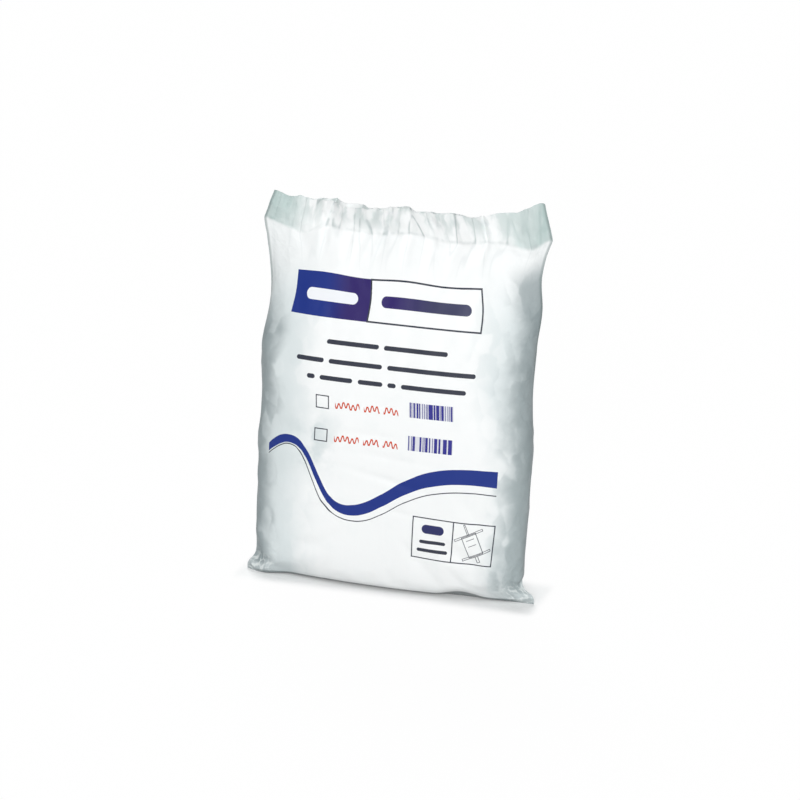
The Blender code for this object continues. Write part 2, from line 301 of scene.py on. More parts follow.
# %% [markdown]
# ## Moulding the skin
# The skin starts as a plain grid: its columns go once round the tube and its rows go from a seam
# under the base up the film, over the cut edge and down inside the skirt. The slices are worked out
# as a table of rows and columns, in which column 0 is the left side fold, the middle column the
# right one, and the last column is the first one again. A height below 0 stands for film under the
# base, which closes on the seam at UNDER.

# %% The rows of the film
ACROSS = 150  # steps across one panel
TOP = WELD_HEIGHT + SKIRT_HEIGHT
UNDER = -0.020  # stands for the seam under the base
POCKET_FLOOR = 0.002  # the skirt's pocket ends this far above the weld
BANDS = (  # from a height to a height, and the steps between
    (0.0, 0.004, 5), (0.004, 0.020, 10), (0.020, 0.350, 156), (0.350, 0.364, 10), (0.364, TOP, 15),
)
outer = [low + (high - low) * n / count for low, high, count in BANDS for n in range(count)]
outer = outer + [TOP]
inner = [height for height in outer if height > WELD_HEIGHT + POCKET_FLOOR][::-1]
ROWS = [(share * UNDER, False) for share in (1.0, 0.65, 0.35, 0.15, 0.05)]
ROWS += [(height, False) for height in outer] + [(height, True) for height in inner]
print("rows:", len(ROWS), "of which inside the skirt:", len(inner))

# %% [markdown]
# Film on a full pack doesn't keep to its slices. The weld and the skirt rise and droop, the front
# hem stands a little off the table, and the bottom corners turn up at their tips. The left one
# points forward. Under the base the back panel's points slide to the front panel's places, so that
# the two panels meet point by point on the seam.

# %% Work out where the film goes
PAIR_GAP = 0.0003  # between the two layers of the skirt
FOLD_SHARPNESS = 40.0  # the layers part within 1/40 of half the width
TUCK_PLACE, TUCK_WIDTH, TUCK_DEPTH = -0.70, 0.011, 0.007
HEM_LIFT, HEM_SWELL, HEM_PLACE, HEM_REACH, HEM_HEIGHT = 0.0015, 0.0045, 0.078, 0.030, 0.020
CORNER_FORWARD, CORNER_PLACE, CORNER_REACH = 0.009, -0.132, 0.030
TIP_LIFT, TIP_START, TIP_REACH = 0.0035, 0.139, 0.012
INNER_TUCK = 0.00025  # the inner layer keeps this far inside the fold


def fill_row(height, inside, face, across, closed):
    """Places for one row of one panel, in metres."""
    beside = 1.0 - min(height, 0.0) / UNDER
    height = max(height, 0.0)
    rise = height - WELD_HEIGHT
    x, depth = slice_points(height, face, 0.5 * (across + 1.0))
    if beside < 1.0:
        x = x * beside + slice_points(0.0, -1, 0.5 * (across + 1.0))[0] * (1.0 - beside)
    from_fold = np.minimum((1.0 - np.abs(across)) * FOLD_SHARPNESS, 1.0)
    layer = 0.0 if closed else 0.5 * PAIR_GAP + FILM * (not inside)
    y = fold_line(height) + face * (depth + layer * from_fold) * beside + pleats(across, rise)
    z = height + weld_lift(across) * ease((min(height / WELD_HEIGHT, 1.0) - 0.78) / 0.22)
    from_tuck = (across - TUCK_PLACE) * 0.5 * SKIRT_WIDTH / TUCK_WIDTH
    z = z - TUCK_DEPTH * np.exp(-(from_tuck**2)) * bump(rise / SKIRT_HEIGHT)
    if face < 0:
        hem = HEM_LIFT + HEM_SWELL * bump((x - HEM_PLACE) / HEM_REACH)
        z = z + hem * (1.0 - ease(height / HEM_HEIGHT)) * from_fold
    foot = 1.0 - ease(height / FOOT_HEIGHT)
    y = y - CORNER_FORWARD * bump((x - CORNER_PLACE) / CORNER_REACH) * foot
    z = z + TIP_LIFT * ease((np.abs(x) - TIP_START) / TIP_REACH) * foot
    z = z * ease((beside - 0.15) / 0.85)
    if rise > 0:
        lean = skirt_lean(across, face)
        z += rise * (SKIRT_TAPER * across + np.cos(lean) - 1.0)
        z += 0.001 * np.interp(across, *zip(*EDGE)) * rise / SKIRT_HEIGHT
        y += rise * np.sin(lean)
    if inside:
        x = x * (1.0 - INNER_TUCK * np.abs(across) ** 8 / side_fold(height, 1))
    return np.column_stack((x, y, z))


steps = np.linspace(-1.0, 1.0, ACROSS + 1)
film = np.empty((len(ROWS), 2 * ACROSS + 1, 3))
for row, (height, inside) in enumerate(ROWS):
    closed = row == len(ROWS) - 1
    film[row, : ACROSS + 1] = fill_row(height, inside, -1, steps, closed)
    film[row, ACROSS:] = fill_row(height, inside, -1 if closed else 1, steps, closed)[::-1]

low, high = film.min(axis=(0, 1)), film.max(axis=(0, 1))
film[:, :, :2] += 0.5 * (np.array(cad_low) + np.array(cad_high) - low - high)[:2]
print("film:", film.shape[:2], "rows and columns, box", np.round(low, 4), np.round(high, 4))

# %% [markdown]
# ## From a table to a mesh
# A grid from the Add menu has its points in rows, so each point can find its own place in the
# table. The same step makes a coarse copy of the body first, to try how the film wrinkles, and then
# the fine skin.

# %% Shape a grid by a table
def read_points(mesh):
    """The places of a mesh's points, one to a row."""
    flat = np.empty(len(mesh.vertices) * 3)
    mesh.vertices.foreach_get("co", flat)
    return flat.reshape(-1, 3)


def grid_from(name, table):
    """A grid shaped by a table of rows and columns, with each point's row and column."""
    bpy.ops.object.select_all(action="DESELECT")
    bpy.ops.mesh.primitive_grid_add(
        x_subdivisions=table.shape[1] - 1, y_subdivisions=table.shape[0] - 1, size=1.0,
        calc_uvs=True,
    )
    grid = bpy.context.object
    grid.name = name
    grid.data.name = name
    flat = read_points(grid.data)
    column = np.rint((flat[:, 0] + 0.5) * (table.shape[1] - 1)).astype(int)
    row = np.rint((flat[:, 1] + 0.5) * (table.shape[0] - 1)).astype(int)
    grid.data.vertices.foreach_set("co", table[row, column].ravel())
    grid.data.update()
    return grid, row, column


def film_normals(table):
    """Outward normals of a table of points, from the steps to the next column and row."""
    along_row = np.gradient(table, axis=1)
    along_row[:, 0] = along_row[:, -1] = table[:, 1] - table[:, -2]
    normal = np.cross(along_row, np.gradient(table, axis=0))
    return normal / np.maximum(np.linalg.norm(normal, axis=2, keepdims=True), 1e-12)


normals = film_normals(film)
print("the front faces", normals[60, ACROSS // 2].round(2))

# %% [markdown]
# Film wrinkles softly where it is pulled, and in flat facets where it is crumpled. `bumps` is soft
# noise. `facets` gives the corners of a net of triangles random heights, and is flat between them.

# %% Noise for the film
def blur(table, passes):
    """Smooths a table of heights, round the tube and up the film."""
    for step in range(passes):
        wide = np.concatenate((table[:, -2:-1], table, table[:, 1:2]), axis=1)
        table = 0.25 * wide[:, :-2] + 0.5 * table + 0.25 * wide[:, 2:]
        tall = np.concatenate((table[:1], table, table[-1:]), axis=0)
        table = 0.25 * tall[:-2] + 0.5 * table + 0.25 * tall[2:]
    return table


def bumps(table, size, seed):
    """Soft noise from -1 to 1, over lengths of about this size in metres."""
    spread = np.asarray(size) * np.ones(3)
    shift = Vector((seed, 2.7 * seed, 0.3))
    values = [noise.noise(Vector(place / spread) + shift) for place in table.reshape(-1, 3)]
    return np.array(values).reshape(table.shape[:2])


FACET_ROWS = 200  # more rows of triangles than the smallest size needs
film_height = np.array([height for height, inside in ROWS])[:, None]


def facets(wide, tall, seed):
    """Heights from -1 to 1, flat within uneven triangles of about this size."""
    count = round(4.0 * HALF_FLAT / wide)
    along = np.arange(film.shape[1])[None, :] / (film.shape[1] - 1) * count
    along = along + 0.9 * bumps(film, 2.2 * wide, seed)
    up = film_height / tall + 0.9 * bumps(film, 2.2 * wide, seed + 40)
    i, j = np.floor(along).astype(int), np.floor(up).astype(int)
    s, t = along - i, up - j
    level = np.random.default_rng(seed).uniform(-1.0, 1.0, (count, FACET_ROWS))
    i, next_i = i % count, (i + 1) % count
    j, next_j = j % FACET_ROWS, (j + 1) % FACET_ROWS
    near, right, above, far = level[i, j], level[next_i, j], level[i, next_j], level[next_i, next_j]
    lower = near + s * (right - near) + t * (above - near)
    upper = far + (1.0 - s) * (above - far) + (1.0 - t) * (right - far)
    return np.where(s + t < 1.0, lower, upper)


print("places to push:", film_height.size * film.shape[1])

# %% [markdown]
# ## Wrinkles from a cloth simulation
# The film is longer than the way round the filled bag, so it buckles down its sides, over the
# bottom corners and under the weld. A coarse copy of the body, as cloth with a little pressure
# inside and its ends held, is let grow there. What the cloth does in twenty frames, less its slow
# drift, gives the wrinkles.

# %% A coarse copy of the body
MERGE = 0.00001
body_rows = [
    n for n, (height, inside) in enumerate(ROWS)
    if not inside and 0.0 <= height <= WELD_HEIGHT + POCKET_FLOOR
][::2]
coarse = film[body_rows][:, ::2]
coarse_normals = normals[body_rows][:, ::2]
coarse_height = np.array([ROWS[n][0] for n in body_rows])


def cloth_copy():
    """The coarse copy, a little uneven, with groups for what is held and what may grow."""
    uneven = 0.0006 * bumps(coarse, 0.016, 4.4) * ease(coarse_height / 0.006)[:, None]
    uneven[:, -1] = uneven[:, 0]
    cloth, row, column = grid_from("cloth_try", coarse + uneven[:, :, None] * coarse_normals)
    x, height = coarse[row, column, 0], coarse_height[row]
    sideways = ease((np.abs(coarse_normals[row, column, 0]) - 0.12) / 0.5)
    near_corner = bump(np.hypot(np.abs(x) - 0.5 * BASE_WIDTH + 0.010, height - 0.012) / 0.045)
    near_weld = ease((height - 0.315) / 0.035)
    grown = np.clip(0.75 * sideways + near_corner + 0.55 * near_weld, 0.0, 1.0)
    held = ((height < 0.003) | (height > WELD_HEIGHT - 0.002)).astype(float)
    for name, weights in (("held", held), ("grown", grown)):
        group = cloth.vertex_groups.new(name=name)
        for index, weight in enumerate(weights):
            group.add([index], float(weight), "REPLACE")
    place = cloth.data.attributes.new("place", "INT", "POINT")
    place.data.foreach_set("value", row * coarse.shape[1] + column)
    bpy.ops.object.mode_set(mode="EDIT")
    bpy.ops.mesh.select_all(action="SELECT")
    bpy.ops.mesh.remove_doubles(threshold=MERGE)
    bpy.ops.object.mode_set(mode="OBJECT")
    return cloth


print("coarse copy:", coarse.shape[:2], "rows and columns")

# %% Let the cloth wrinkle
CLOTH_FRAMES = 20
CLOTH_SETTINGS = {
    "quality": 5, "mass": 0.15, "tension_stiffness": 25.0, "compression_stiffness": 25.0,
    "shear_stiffness": 12.0, "bending_stiffness": 0.3, "use_pressure": True,
    "uniform_pressure_force": 1.5, "vertex_group_mass": "held", "vertex_group_shrink": "grown",
    "shrink_min": 0.0, "shrink_max": -0.10,
}


def settle(cloth):
    """Runs the cloth, and gives back the coarse table as it has become."""
    tuned = cloth.modifiers.new("cloth", "CLOTH")
    for name, setting in CLOTH_SETTINGS.items():
        setattr(tuned.settings, name, setting)
    tuned.settings.effector_weights.gravity = 0.0
    tuned.collision_settings.use_collision = False
    for step in range(1, CLOTH_FRAMES + 1):
        bpy.context.scene.frame_set(step)
    bpy.ops.object.modifier_apply(modifier="cloth")
    bpy.context.scene.frame_set(1)

    places = read_points(cloth.data)
    code = np.empty(len(places), dtype=int)
    cloth.data.attributes["place"].data.foreach_get("value", code)
    bpy.data.objects.remove(cloth)
    row, column = code // coarse.shape[1], code % coarse.shape[1]
    settled = coarse.copy()
    settled[row, column] = places
    kept, merged = (0, -1) if (column == 0).any() else (-1, 0)
    settled[:, merged] = settled[:, kept]
    return settled


WRINKLE_LIMIT = 0.0020
wrinkles = np.zeros(film.shape[:2])
out = ((settle(cloth_copy()) - coarse) * coarse_normals).sum(axis=2)
print("the cloth moved", round(1000 * out.min(), 1), "to", round(1000 * out.max(), 1), "mm")
sideways = ease((np.abs(coarse_normals[:, :, 0]) - 0.12) / 0.5)
out = (out - blur(out, 40)) * (1.0 + 0.5 * sideways)
out = np.clip(out, -WRINKLE_LIMIT, WRINKLE_LIMIT)
print("wrinkles are typically", round(1000 * out.std(), 2), "mm")
columns = np.arange(film.shape[1])
between = np.array([np.interp(columns, columns[::2], line) for line in out])
fine_rows = np.arange(body_rows[0], body_rows[-1] + 1)
between = np.array([np.interp(fine_rows, body_rows, line) for line in between.T]).T
wrinkles[fine_rows] = blur(between, 1)

# %% [markdown]
# ## Long creases
# A few long faint creases cross the flat front, where the edges of the folded bags press against
# the film. The back has wider and deeper ones. A crease is a soft groove that fades out at its
# ends: where it is across and up the panel, half its length and its tilt in degrees.

# %% Long creases
CREASE_DEPTH = 0.0006
FRONT_CREASES = (
    (-0.10, 0.465, 0.055, -3), (0.02, 0.405, 0.060, -5), (-0.04, 0.345, 0.070, -11),
    (0.10, 0.335, 0.045, -14), (0.18, 0.245, 0.050, -8), (-0.38, 0.245, 0.040, 9),
    (-0.28, 0.900, 0.030, -50), (0.30, 0.885, 0.030, 70),
)
BACK_CREASES = (
    (0.05, 0.62, 0.100, 3), (-0.12, 0.47, 0.085, -6), (0.24, 0.34, 0.070, 9),
    (-0.20, 0.22, 0.080, 4), (-0.45, 0.70, 0.050, 62), (0.42, 0.78, 0.045, -58),
    (0.0, 0.86, 0.050, 80), (0.46, 0.15, 0.040, -35),
)
FRONT_HALF_WIDTH, BACK_HALF_WIDTH, BACK_DEEPER = 0.0035, 0.0075, 2.2


def crease_depth(creases, x, height, half_width):
    """Depth of the long creases at each place on a panel."""
    total = np.zeros_like(x)
    for across, up, reach, tilt in creases:
        turn = math.radians(tilt)
        away_x, away_z = x - across * 0.5 * BODY_WIDTH, height - up * WELD_HEIGHT
        length = away_x * math.cos(turn) + away_z * math.sin(turn)
        width = away_z * math.cos(turn) - away_x * math.sin(turn)
        total += bump(length / reach) * np.exp(-((width / half_width) ** 2))
    return CREASE_DEPTH * total


x = film[:, :, 0]
on_front = np.arange(2 * ACROSS + 1)[None, :] <= ACROSS
creases = np.where(
    on_front,
    crease_depth(FRONT_CREASES, x, film_height, FRONT_HALF_WIDTH),
    BACK_DEEPER * crease_depth(BACK_CREASES, x, film_height, BACK_HALF_WIDTH),
)
print("deepest crease:", round(1000 * creases.max(), 2), "mm")

# %% [markdown]
# ## Sharp crumples
# Film bends along lines and stays flat between them, so crumpled film is all flat facets. They lie
# down the sides, over the bottom corners, in the gathers under the weld, wide and low on the back,
# and in the skirt, where both layers move together.

# %% Push the film along its own normal
SIDE_LARGE, SIDE_SMALL = 0.0012, 0.0006  # heights of the facets, in metres
CORNER_SMALL, CORNER_TINY = 0.0016, 0.0009
BACK_WIDE, BACK_LARGE = 0.0011, 0.0004
GATHER = 0.0007
body = np.array([not inside and height < WELD_HEIGHT - 0.004 for height, inside in ROWS])[:, None]
level = np.clip(film_height / WELD_HEIGHT, 0.0, 1.0)
off_floor = ease(film_height / 0.006)
off_weld = 1.0 - ease((level - 0.84) / 0.13)
sideways = ease((np.abs(normals[:, :, 0]) - 0.20) / 0.5)
rear = ease((normals[:, :, 1] - 0.3) / 0.5) * off_floor * off_weld
from_corner = np.hypot(np.abs(x) - 0.5 * BODY_WIDTH, 1.3 * (film_height - 0.014)) / 0.042

large, small, tiny = facets(0.026, 0.030, 11), facets(0.012, 0.013, 12), facets(0.0075, 0.007, 13)
dents = sideways * off_floor * off_weld * (SIDE_LARGE * large + SIDE_SMALL * small)
crumple = bump(from_corner) * off_floor * (CORNER_SMALL * small + CORNER_TINY * tiny)
under_weld = ease((level - 0.84) / 0.10) * (1.0 - ease((level - 0.96) / 0.03))
gathers = GATHER * facets(0.018, 0.040, 14) * under_weld
dents += rear * (BACK_WIDE * facets(0.046, 0.052, 17) + BACK_LARGE * large)
grooves = creases * off_weld * ease(film_height / 0.02)
push = wrinkles * off_floor + body * (dents + crumple + gathers - grooves)
push[:, -1] = push[:, 0]
print("pushed between", round(1000 * push.min(), 2), "and", round(1000 * push.max(), 2), "mm")

# %% Push both layers of the skirt together
SKIRT_LARGE, SKIRT_SMALL = 0.0019, 0.0009
NEAR_CUT_SHARE = 0.55  # how much of the facets is lost at the cut edge
THIN_GAP = 0.014  # panels closer than this begin to move as one


def both_layers(front_half):
    """The front panel's half of a table, and its mirror image for the back panel."""
    return np.concatenate((front_half[:, : ACROSS + 1], front_half[:, ACROSS - 1 :: -1]), axis=1)


gap = both_layers(np.linalg.norm(film - film[:, ::-1], axis=2))
thin = np.where(film_height > WELD_HEIGHT, 1.0, 1.0 - ease(gap / THIN_GAP))
up_skirt = film_height - WELD_HEIGHT
skirt = ease((up_skirt + 0.012) / 0.012)
near_cut = ease((up_skirt - 0.4 * SKIRT_HEIGHT) / (0.6 * SKIRT_HEIGHT))
skirt = skirt * (1.0 - NEAR_CUT_SHARE * near_cut)
crinkle = SKIRT_LARGE * facets(0.015, 0.019, 15) + SKIRT_SMALL * facets(0.008, 0.010, 16)
sheet = skirt * crinkle + 0.8 * crumple
# The inner rows go down the same film as the last outer rows go up, so they take the same push.
sheet[-len(inner) :] = sheet[-2 * len(inner) : -len(inner)][::-1]
film += (push * (1.0 - thin))[:, :, None] * normals
film[:, :, 1] += both_layers(sheet) * thin
film[:, :, 2] = np.maximum(film[:, :, 2], 0.0)
print("skirt pushed by up to", round(1000 * np.abs(sheet).max(), 2), "mm")

# %% [markdown]
# ## The skin and its maps
# u of the film's map runs round the tube and v up the film, both in metres, with 0 in the middle of
# the front. The second map keeps the panels apart in one square, for anyone who bakes the finish to
# an image. The front gets most of it, because the print is there.

# %% Make the skin
skin, row, column = grid_from("film_skin", film)
corner = np.empty(len(skin.data.loops), dtype=int)
skin.data.loops.foreach_get("vertex_index", corner)
row_length = np.array([2 * TOP - height if inside else height for height, inside in ROWS])
film_map = skin.data.uv_layers[0]
film_map.name = "film"
film_u = -HALF_FLAT + column * 2.0 * HALF_FLAT / ACROSS
film_v = row_length[row]
film_map.data.foreach_set("uv", np.column_stack((film_u, film_v))[corner].ravel())

bake_map = skin.data.uv_layers.new(name="OFBake")
behind = [np.mean(column[list(face.vertices)]) > ACROSS for face in skin.data.polygons]
on_back = np.repeat(behind, 4)
share_u = (column / ACROSS)[corner]
share_v = ((film_v - film_v.min()) / (film_v.max() - film_v.min()))[corner]
bake_u = np.where(on_back, 0.73 + 0.265 * share_v, 0.005 + 0.71 * share_u)
bake_v = np.where(on_back, 0.005 + 0.99 * (share_u - 1.0), 0.005 + 0.99 * share_v)
bake_map.data.foreach_set("uv", np.column_stack((bake_u, bake_v)).ravel())
print("skin:", len(skin.data.vertices), "points, maps", skin.data.uv_layers.keys())

# %% [markdown]
# ## Closing the skin
# Merging points by distance sews the side fold, the seam under the base and the bottom of the
# pocket in the skirt.

# %% Sew the folds
bpy.ops.object.mode_set(mode="EDIT")
bpy.ops.mesh.select_all(action="SELECT")
bpy.ops.mesh.remove_doubles(threshold=MERGE)
bpy.ops.mesh.normals_make_consistent(inside=False)
bpy.ops.mesh.select_mode(type="EDGE")
bpy.ops.mesh.select_all(action="DESELECT")
bpy.ops.mesh.select_non_manifold()
bpy.ops.object.mode_set(mode="OBJECT")
bpy.ops.object.shade_smooth_by_angle(angle=math.radians(65))
uneven_edges = sum(edge.select for edge in skin.data.edges)
print("skin:", len(skin.data.polygons), "faces, edges without two faces:", uneven_edges)

# %% [markdown]
# ## White printed film
# The film is polythene, milky white right through, with a soft gloss. The print is laid on the flat
# film, so every shape in it is given in metres on the film's own map. A small class lets the sums
# be written as sums: each value wraps a socket, and every operator adds one Math node.

# %% A short way to write node sums
def math_node(operation, turned=False):
    """A method that adds one Math node. Turned, it puts its own value last, as 1 - mask needs."""

    def method(self, *others):
        node = self.recipe.tree.nodes.new("ShaderNodeMath")
        node.operation = operation
        for index, value in enumerate((*others, self) if turned else (self, *others)):
            self.recipe.feed(node.inputs[index], value)
        return Value(self.recipe, node.outputs[0])

    return method


class Value:
    """One output socket of a material, that sums can be written with."""

    def __init__(self, recipe, socket):
        self.recipe, self.socket = recipe, socket

    __add__, __radd__ = math_node("ADD"), math_node("ADD", turned=True)
    __sub__, __rsub__ = math_node("SUBTRACT"), math_node("SUBTRACT", turned=True)
    __mul__, __rmul__ = math_node("MULTIPLY"), math_node("MULTIPLY", turned=True)
    __truediv__, __abs__ = math_node("DIVIDE"), math_node("ABSOLUTE")
    largest, root, floor = math_node("MAXIMUM"), math_node("SQRT"), math_node("FLOOR")
    sine, cosine = math_node("SINE"), math_node("COSINE")


print("sums that may start with a number:", [name for name in vars(Value) if "__r" in name])

# %% [markdown]
# A recipe holds one material and adds its nodes. Its helpers name what a finish is made of: one
# colour laid over another, a smooth climb or fall, clouds of noise, cells, and a drawn curve.

# %% A recipe for a material
class Recipe:
    """One material and its nodes."""

    def __init__(self, name):
        self.material = bpy.data.materials.new(name)
        self.material.use_nodes = True
        self.tree = self.material.node_tree
        self.shader = self.tree.nodes["Principled BSDF"]

    def feed(self, socket, value):
        if isinstance(value, Value):
            self.tree.links.new(value.socket, socket)
        elif socket.type == "RGBA":
            socket.default_value = (*value, 1.0)
        else:
            socket.default_value = value

    def add(self, kind, settings, inputs, output=0):
        """Adds any node: its type, its settings, then its socket values or links."""
        node = self.tree.nodes.new(kind)
        for name, setting in settings.items():
            setattr(node, name, setting)
        for name, value in inputs.items():
            self.feed(node.inputs[name], value)
        return Value(self, node.outputs[output])

    def lay(self, under, cover, over):
        """Lays one colour over another where cover is 1."""
        inputs = {0: cover, 6: under, 7: over}
        return self.add("ShaderNodeMix", {"data_type": "RGBA"}, inputs, 2)

    def climb(self, value, start, end, low=0.0, high=1.0):
        """A smooth climb from low to high while value goes from start to end."""
        inputs = {"Value": value, "From Min": start, "From Max": end, "To Min": low, "To Max": high}
        return self.add("ShaderNodeMapRange", {"interpolation_type": "SMOOTHSTEP"}, inputs)

    def fall(self, value, start, end, low=0.0):
        """A smooth fall from 1 to low while value goes from start to end."""
        return self.climb(value, start, end, 1.0, low)

    def cloud(self, vector, scale, detail=2.0):
        inputs = {"Vector": vector, "Scale": scale, "Detail": detail}
        return self.add("ShaderNodeTexNoise", {}, inputs)

    def cells(self, vector):
        """The distance to the middle of the nearest of many random cells."""
        return self.add("ShaderNodeTexVoronoi", {}, {"Vector": vector, "Scale": 1.0})

    def stretch(self, vector, wide, tall, tilt=0.0, deep=1.0):
        """A place to read a pattern at: how many to the metre each way, and a tilt in radians."""
        inputs = {"Vector": vector, "Scale": (wide, tall, deep), "Rotation": (0.0, 0.0, tilt)}
        return self.add("ShaderNodeMapping", {}, inputs)

    def curve(self, value, start, end, low, high, pairs):
        """A drawn curve: pairs of a place from start to end and a height from low to high."""
        inputs = {"Value": value, "From Min": start, "From Max": end}
        share = self.add("ShaderNodeMapRange", {}, inputs)
        drawn = self.add("ShaderNodeFloatCurve", {}, {"Value": share})
        curve = drawn.socket.node.mapping.curves[0]
        spots = [((x - start) / (end - start), (y - low) / (high - low)) for x, y in pairs]
        curve.points[0].location, curve.points[-1].location = spots[0], spots[-1]
        for spot in spots[1:-1]:
            curve.points.new(*spot)
        drawn.socket.node.mapping.update()
        return drawn * (high - low) + low


def shade(red, green, blue):
    """A linear colour from sRGB numbers, 0 to 255, as a print shop gives them."""
    values = (red, green, blue)
    return tuple(c / 3294.6 if c < 10.3 else ((c / 255 + 0.055) / 1.055) ** 2.4 for c in values)


print("white film:", np.round(shade(247, 248, 248), 3))

# %% [markdown]
# ### Drawing tools for the print
# Ink on film ends within a tenth of a millimetre, so every edge is that soft. A `band` is ink
# between two values, a `patch` is a rectangle, and a `line` is ink near a value of 0.

# %% Start the print
film_finish = Recipe("printed_film")
add, lay, climb, fall = film_finish.add, film_finish.lay, film_finish.climb, film_finish.fall
cloud, stretch = film_finish.cloud, film_finish.stretch
film_place = add("ShaderNodeUVMap", {"uv_map": "film"}, {})
pack_place = add("ShaderNodeTexCoord", {}, {}, "Object")
u = add("ShaderNodeSeparateXYZ", {}, {"Vector": film_place}, "X")
v = add("ShaderNodeSeparateXYZ", {}, {"Vector": film_place}, "Y")
SOFT = 0.0001


def band(value, low, high):
    """1 between low and high."""
    return climb(value, low - SOFT, low + SOFT) * fall(value, high - SOFT, high + SOFT)


def patch(left, right, bottom, top):
    """1 in a rectangle of the film."""
    return band(u, left, right) * band(v, bottom, top)


def line(distance, width):
    """1 where the distance is under half a line's width."""
    return fall(abs(distance), 0.5 * width - SOFT, 0.5 * width + SOFT)


def round_bar(across, up, length, thick):
    """A bar with round ends, such as stands for a word, round 0, 0."""
    beyond = (abs(across) - 0.5 * (length - thick)).largest(0.0)
    from_core = (beyond * beyond + up * up).root()
    return fall(from_core, 0.5 * thick - SOFT, 0.5 * thick + SOFT)


def frame_line(across, up, half_width, half_height, width):
    """The outline of a rectangle round 0, 0."""
    return line((abs(across) - half_width).largest(abs(up) - half_height), width)


print("the film's map runs over", round(2 * HALF_FLAT, 3), "m a panel")

# %% [markdown]
# ### The print
# Print on such film is a few flat inks: a dark blue, a violet, a dark grey for small text and a red
# for the pen. This pack's print is generic. A blue block and a ruled panel stand for a heading,
# rows of round bars for text, a looped line for handwriting, and the pictogram shows what is in the
# pack: a bag with two straps. A sweeping blue band with a fine line under it goes right across the
# front.

# %% Heading and small text
HEADING_V = 0.2985  # the middle of the heading and of the ruled panel, up the film
PANEL_U = 0.0305
WORD_THICK, SMALL_THICK = 0.0110, 0.0046
TEXT_ROWS = (  # how far up a row is, and the ends of its words
    (0.2552, ((-0.0685, -0.0124), (-0.0070, 0.0605))),
    (0.2362, ((-0.0975, -0.0676), (-0.0621, -0.0056), (0.0000, 0.0915))),
    (0.2192, (
        (-0.0841, -0.0755), (-0.0701, -0.0353), (-0.0293, -0.0035), (0.0018, 0.0104),
        (0.0160, 0.0827),
    )),
)
heading = patch(-0.116, -0.031, 0.2780, 0.3190)
heading_end = climb(u, -0.084, -0.050)
heading_word = round_bar(u + 0.0735, v - HEADING_V, 0.058, WORD_THICK)
ruled = frame_line(u - PANEL_U, v - HEADING_V, 0.0610, 0.0200, 0.0017)
ruled_word = round_bar(u - PANEL_U, v - HEADING_V, 0.098, WORD_THICK)
words = None
for middle, spans in TEXT_ROWS:
    for start, end in spans:
        word = round_bar(u - 0.5 * (start + end), v - middle, end - start, SMALL_THICK)
        words = word if words is None else words.largest(word)
print("words:", sum(len(spans) for middle, spans in TEXT_ROWS))

# %% Two rows to tick, each with a code of bars
TICK_HALF_WIDTH, TICK_HALF_HEIGHT, TICK_LINE = 0.0066, 0.0062, 0.0011
PEN_WAVES = ((0.0023, 1250.0), (0.0010, 410.0))  # height, and radians to the metre
PEN_WIDTH = 0.0014
CODE_WIDTH, CODE_HEIGHT, CODE_STEP = 0.0455, 0.0150, 0.00065


def tick_box(across, up):
    """A small square to tick."""
    return frame_line(u - across, v - up, TICK_HALF_WIDTH, TICK_HALF_HEIGHT, TICK_LINE)


def handwriting(bottom):
    """A looped pen line, as in a handwritten word. It keeps its width where it is steep."""
    (tall, fast), (low, slow) = PEN_WAVES
    wave = tall * (u * fast).sine() + low * (u * slow).sine()
    slope = 2.9 * (u * fast).cosine() + 0.4 * (u * slow).cosine()
    strokes = band(u, -0.0530, -0.0270) + band(u, -0.0225, -0.0060) + band(u, -0.0020, 0.0135)
    return line((v - bottom - 0.0045 - wave) / (slope * slope + 1.0).root(), PEN_WIDTH) * strokes


def bar_code(left, bottom, seed):
    """Upright bars of uneven width, from random numbers."""
    inputs = {"W": (u / CODE_STEP).floor() + seed}
    ink = add("ShaderNodeTexWhiteNoise", {"noise_dimensions": "1D"}, inputs)
    room = patch(left, left + CODE_WIDTH, bottom, bottom + CODE_HEIGHT)
    return room * climb(ink, 0.36, 0.40, 0.22, 1.0)


ticks = tick_box(-0.0667, 0.1950).largest(tick_box(-0.0673, 0.1612))
pen = handwriting(0.1890).largest(handwriting(0.1550))
codes = bar_code(0.0248, 0.1898, 3.0).largest(bar_code(0.0240, 0.1562, 71.0))
print("a code's bars step by", 1000 * CODE_STEP, "mm")

# %% The lines of the sweeping band
BAND_TOP = (
    (-0.1276, 0.1411), (-0.1203, 0.1481), (-0.1119, 0.1536), (-0.1046, 0.1555), (-0.0974, 0.1554),
    (-0.0913, 0.1530), (-0.0851, 0.1472), (-0.0789, 0.1394), (-0.0727, 0.1289), (-0.0666, 0.1172),
    (-0.0608, 0.1064), (-0.0541, 0.0979), (-0.0465, 0.0926), (-0.0400, 0.0909), (-0.0313, 0.0918),
    (-0.0227, 0.0943), (-0.0020, 0.1062), (0.0242, 0.1246), (0.0521, 0.1373), (0.0799, 0.1418),
    (0.1158, 0.1410),
)
BAND_BOTTOM = (
    (-0.1276, 0.1326), (-0.1196, 0.1392), (-0.1111, 0.1447), (-0.1040, 0.1474), (-0.0968, 0.1471),
    (-0.0895, 0.1435), (-0.0833, 0.1366), (-0.0778, 0.1280), (-0.0729, 0.1183), (-0.0675, 0.1075),
    (-0.0618, 0.0978), (-0.0553, 0.0890), (-0.0474, 0.0834), (-0.0386, 0.0808), (-0.0300, 0.0808),
    (-0.0214, 0.0826), (-0.0005, 0.0936), (0.0260, 0.1107), (0.0530, 0.1218), (0.0810, 0.1261),
    (0.1158, 0.1240),
)
